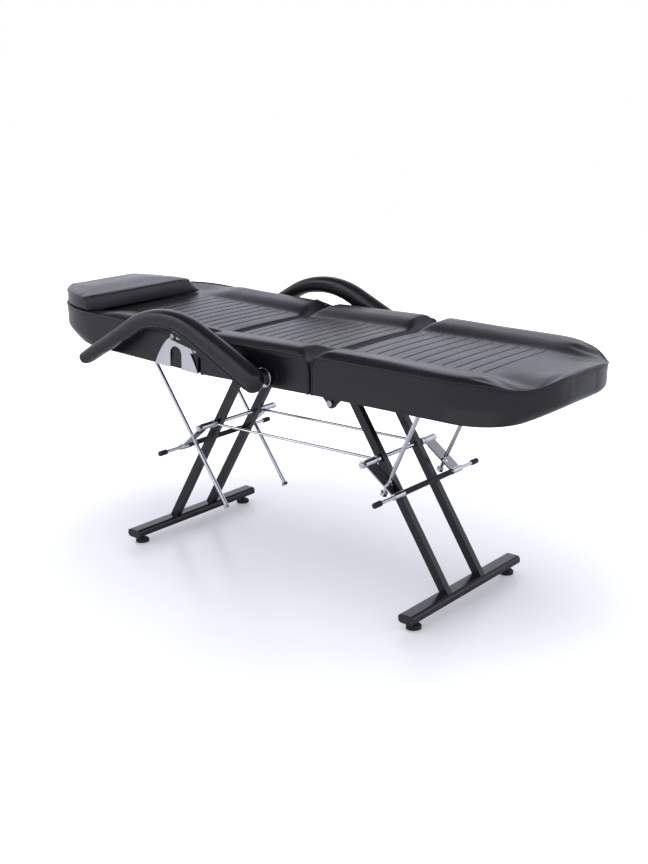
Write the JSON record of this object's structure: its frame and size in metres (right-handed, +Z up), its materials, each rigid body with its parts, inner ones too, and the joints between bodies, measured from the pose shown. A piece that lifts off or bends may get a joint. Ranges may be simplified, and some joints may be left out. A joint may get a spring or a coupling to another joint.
{
  "type": "tattoo chair",
  "caption": "Padded tattoo couch with tilting backrest, leg-rest and armrests on an A-shaped steel stand, held by rods in tilting clamp plates.",
  "frame": {"origin": "on the floor, under the middle of the couch's length and width", "axes": "+X along the couch from the head end to the foot end, +Z up, +Y to the sitter's left"},
  "size_m": [1.7812, 0.758, 0.7929],
  "materials": {
    "black_leatherette": "satin",
    "black_steel": "satin",
    "chrome": "polished",
    "zinc_steel": "satin",
    "black_rubber": "matte",
    "black_plastic": "matte",
    "plywood": "matte"
  },
  "bodies": {
    "frame": {"foot_bar_head": "black_steel", "foot_bar_foot": "black_steel", "foot_bar_caps": "black_plastic", "levelling_feet": "black_rubber", "leg_head_left": "black_steel", "leg_head_right": "black_steel", "leg_foot_left": "black_steel", "leg_foot_right": "black_steel", "cross_tubes": "black_steel", "axles": "chrome", "axle_nuts": "chrome", "axle_spacers": "chrome", "stretchers": "chrome", "seat_rail_left": "black_steel", "seat_rail_right": "black_steel", "seat_board": "plywood", "seat_battens": "plywood", "seat_pad": "black_leatherette", "side_bar_left": "black_steel", "side_bar_right": "black_steel", "side_bar_fixings": "zinc_steel", "backrest_hinge_studs": "zinc_steel", "armrest_studs": "zinc_steel", "armrest_washers": "chrome", "seat_hinge_ears": "black_steel", "legrest_hinge_bolts": "zinc_steel"},
    "backrest": {"backrest_board": "plywood", "backrest_battens": "plywood", "backrest_pad": "black_leatherette", "backrest_rod_brackets": "zinc_steel", "backrest_rod_pins": "zinc_steel", "arch_plate_left": "chrome", "arch_plate_right": "chrome", "arch_screws": "zinc_steel", "armrest_guide_pins": "zinc_steel"},
    "legrest": {"legrest_board": "plywood", "legrest_pad": "black_leatherette", "legrest_rail_left": "black_steel", "legrest_rail_right": "black_steel", "legrest_hinge_ears": "black_steel", "legrest_rod_brackets": "zinc_steel", "legrest_rod_pins": "zinc_steel"},
    "rod_backrest_left": {"rod_backrest_left": "chrome"},
    "rod_backrest_right": {"rod_backrest_right": "chrome"},
    "rod_legrest_left": {"rod_legrest_left": "chrome"},
    "rod_legrest_right": {"rod_legrest_right": "chrome"},
    "lever_head": {"clamp_plates_head": "chrome", "release_bar_head": "chrome", "grip_sleeve_head": "black_rubber", "bar_tips_head": "black_rubber"},
    "lever_foot": {"clamp_plates_foot": "chrome", "release_bar_foot": "chrome", "grip_sleeve_foot": "black_rubber", "bar_tips_foot": "black_rubber"},
    "armrest_left": {"armrest_frame_left": "black_steel", "armrest_pad_left": "black_leatherette"},
    "armrest_right": {"armrest_frame_right": "black_steel", "armrest_pad_right": "black_leatherette"},
    "pillow": {"head_pillow": "black_leatherette"}
  },
  "joints": [
    {"name": "backrest_tilt", "type": "hinge", "parent": "frame", "child": "backrest", "pos_m": [-0.15482, 0, 0.68], "axis": [0, 1, 0], "range_deg": [0, 38]},
    {"name": "legrest_tilt", "type": "hinge", "parent": "frame", "child": "legrest", "pos_m": [0.25378, 0, 0.567], "axis": [0, 1, 0], "range_deg": [0, 45]},
    {"name": "rod_backrest_left_swing", "type": "hinge", "parent": "backrest", "child": "rod_backrest_left", "pos_m": [-0.54438, 0.135, 0.61129], "axis": [0, 1, 0], "range_deg": [-19.5, 0]},
    {"name": "rod_legrest_left_swing", "type": "hinge", "parent": "legrest", "child": "rod_legrest_left", "pos_m": [0.50323, 0.135, 0.59065], "axis": [0, 1, 0], "range_deg": [-25, 0]},
    {"name": "rod_backrest_right_swing", "type": "hinge", "parent": "backrest", "child": "rod_backrest_right", "pos_m": [-0.54438, -0.135, 0.61129], "axis": [0, 1, 0], "range_deg": [-19.5, 0]},
    {"name": "rod_legrest_right_swing", "type": "hinge", "parent": "legrest", "child": "rod_legrest_right", "pos_m": [0.50323, -0.135, 0.59065], "axis": [0, 1, 0], "range_deg": [-25, 0]},
    {"name": "lever_head_lift", "type": "hinge", "parent": "frame", "child": "lever_head", "pos_m": [-0.30342, 0, 0.395], "axis": [0, 1, 0], "range_deg": [0, 12]},
    {"name": "lever_foot_lift", "type": "hinge", "parent": "frame", "child": "lever_foot", "pos_m": [0.32258, 0, 0.395], "axis": [0, -1, 0], "range_deg": [0, 12]},
    {"name": "armrest_left_tilt", "type": "hinge", "parent": "frame", "child": "armrest_left", "pos_m": [0.10158, 0.353, 0.636], "axis": [0, 1, 0], "range_deg": [0, 9]},
    {"name": "armrest_right_tilt", "type": "hinge", "parent": "frame", "child": "armrest_right", "pos_m": [0.10158, -0.353, 0.636], "axis": [0, 1, 0], "range_deg": [0, 9]},
    {"name": "pillow_lift", "type": "slide", "parent": "backrest", "child": "pillow", "axis": [0.0523, 0, 0.9986], "range_m": [0, 0.25]}
  ],
  "couplings": [
    {"joint": "rod_backrest_left_swing", "follows": "backrest_tilt", "ratio": -0.5},
    {"joint": "rod_legrest_left_swing", "follows": "legrest_tilt", "ratio": -0.548},
    {"joint": "armrest_left_tilt", "follows": "backrest_tilt", "ratio": 0.2334},
    {"joint": "rod_backrest_right_swing", "follows": "backrest_tilt", "ratio": -0.5},
    {"joint": "rod_legrest_right_swing", "follows": "legrest_tilt", "ratio": -0.548},
    {"joint": "armrest_right_tilt", "follows": "backrest_tilt", "ratio": 0.2334}
  ]
}
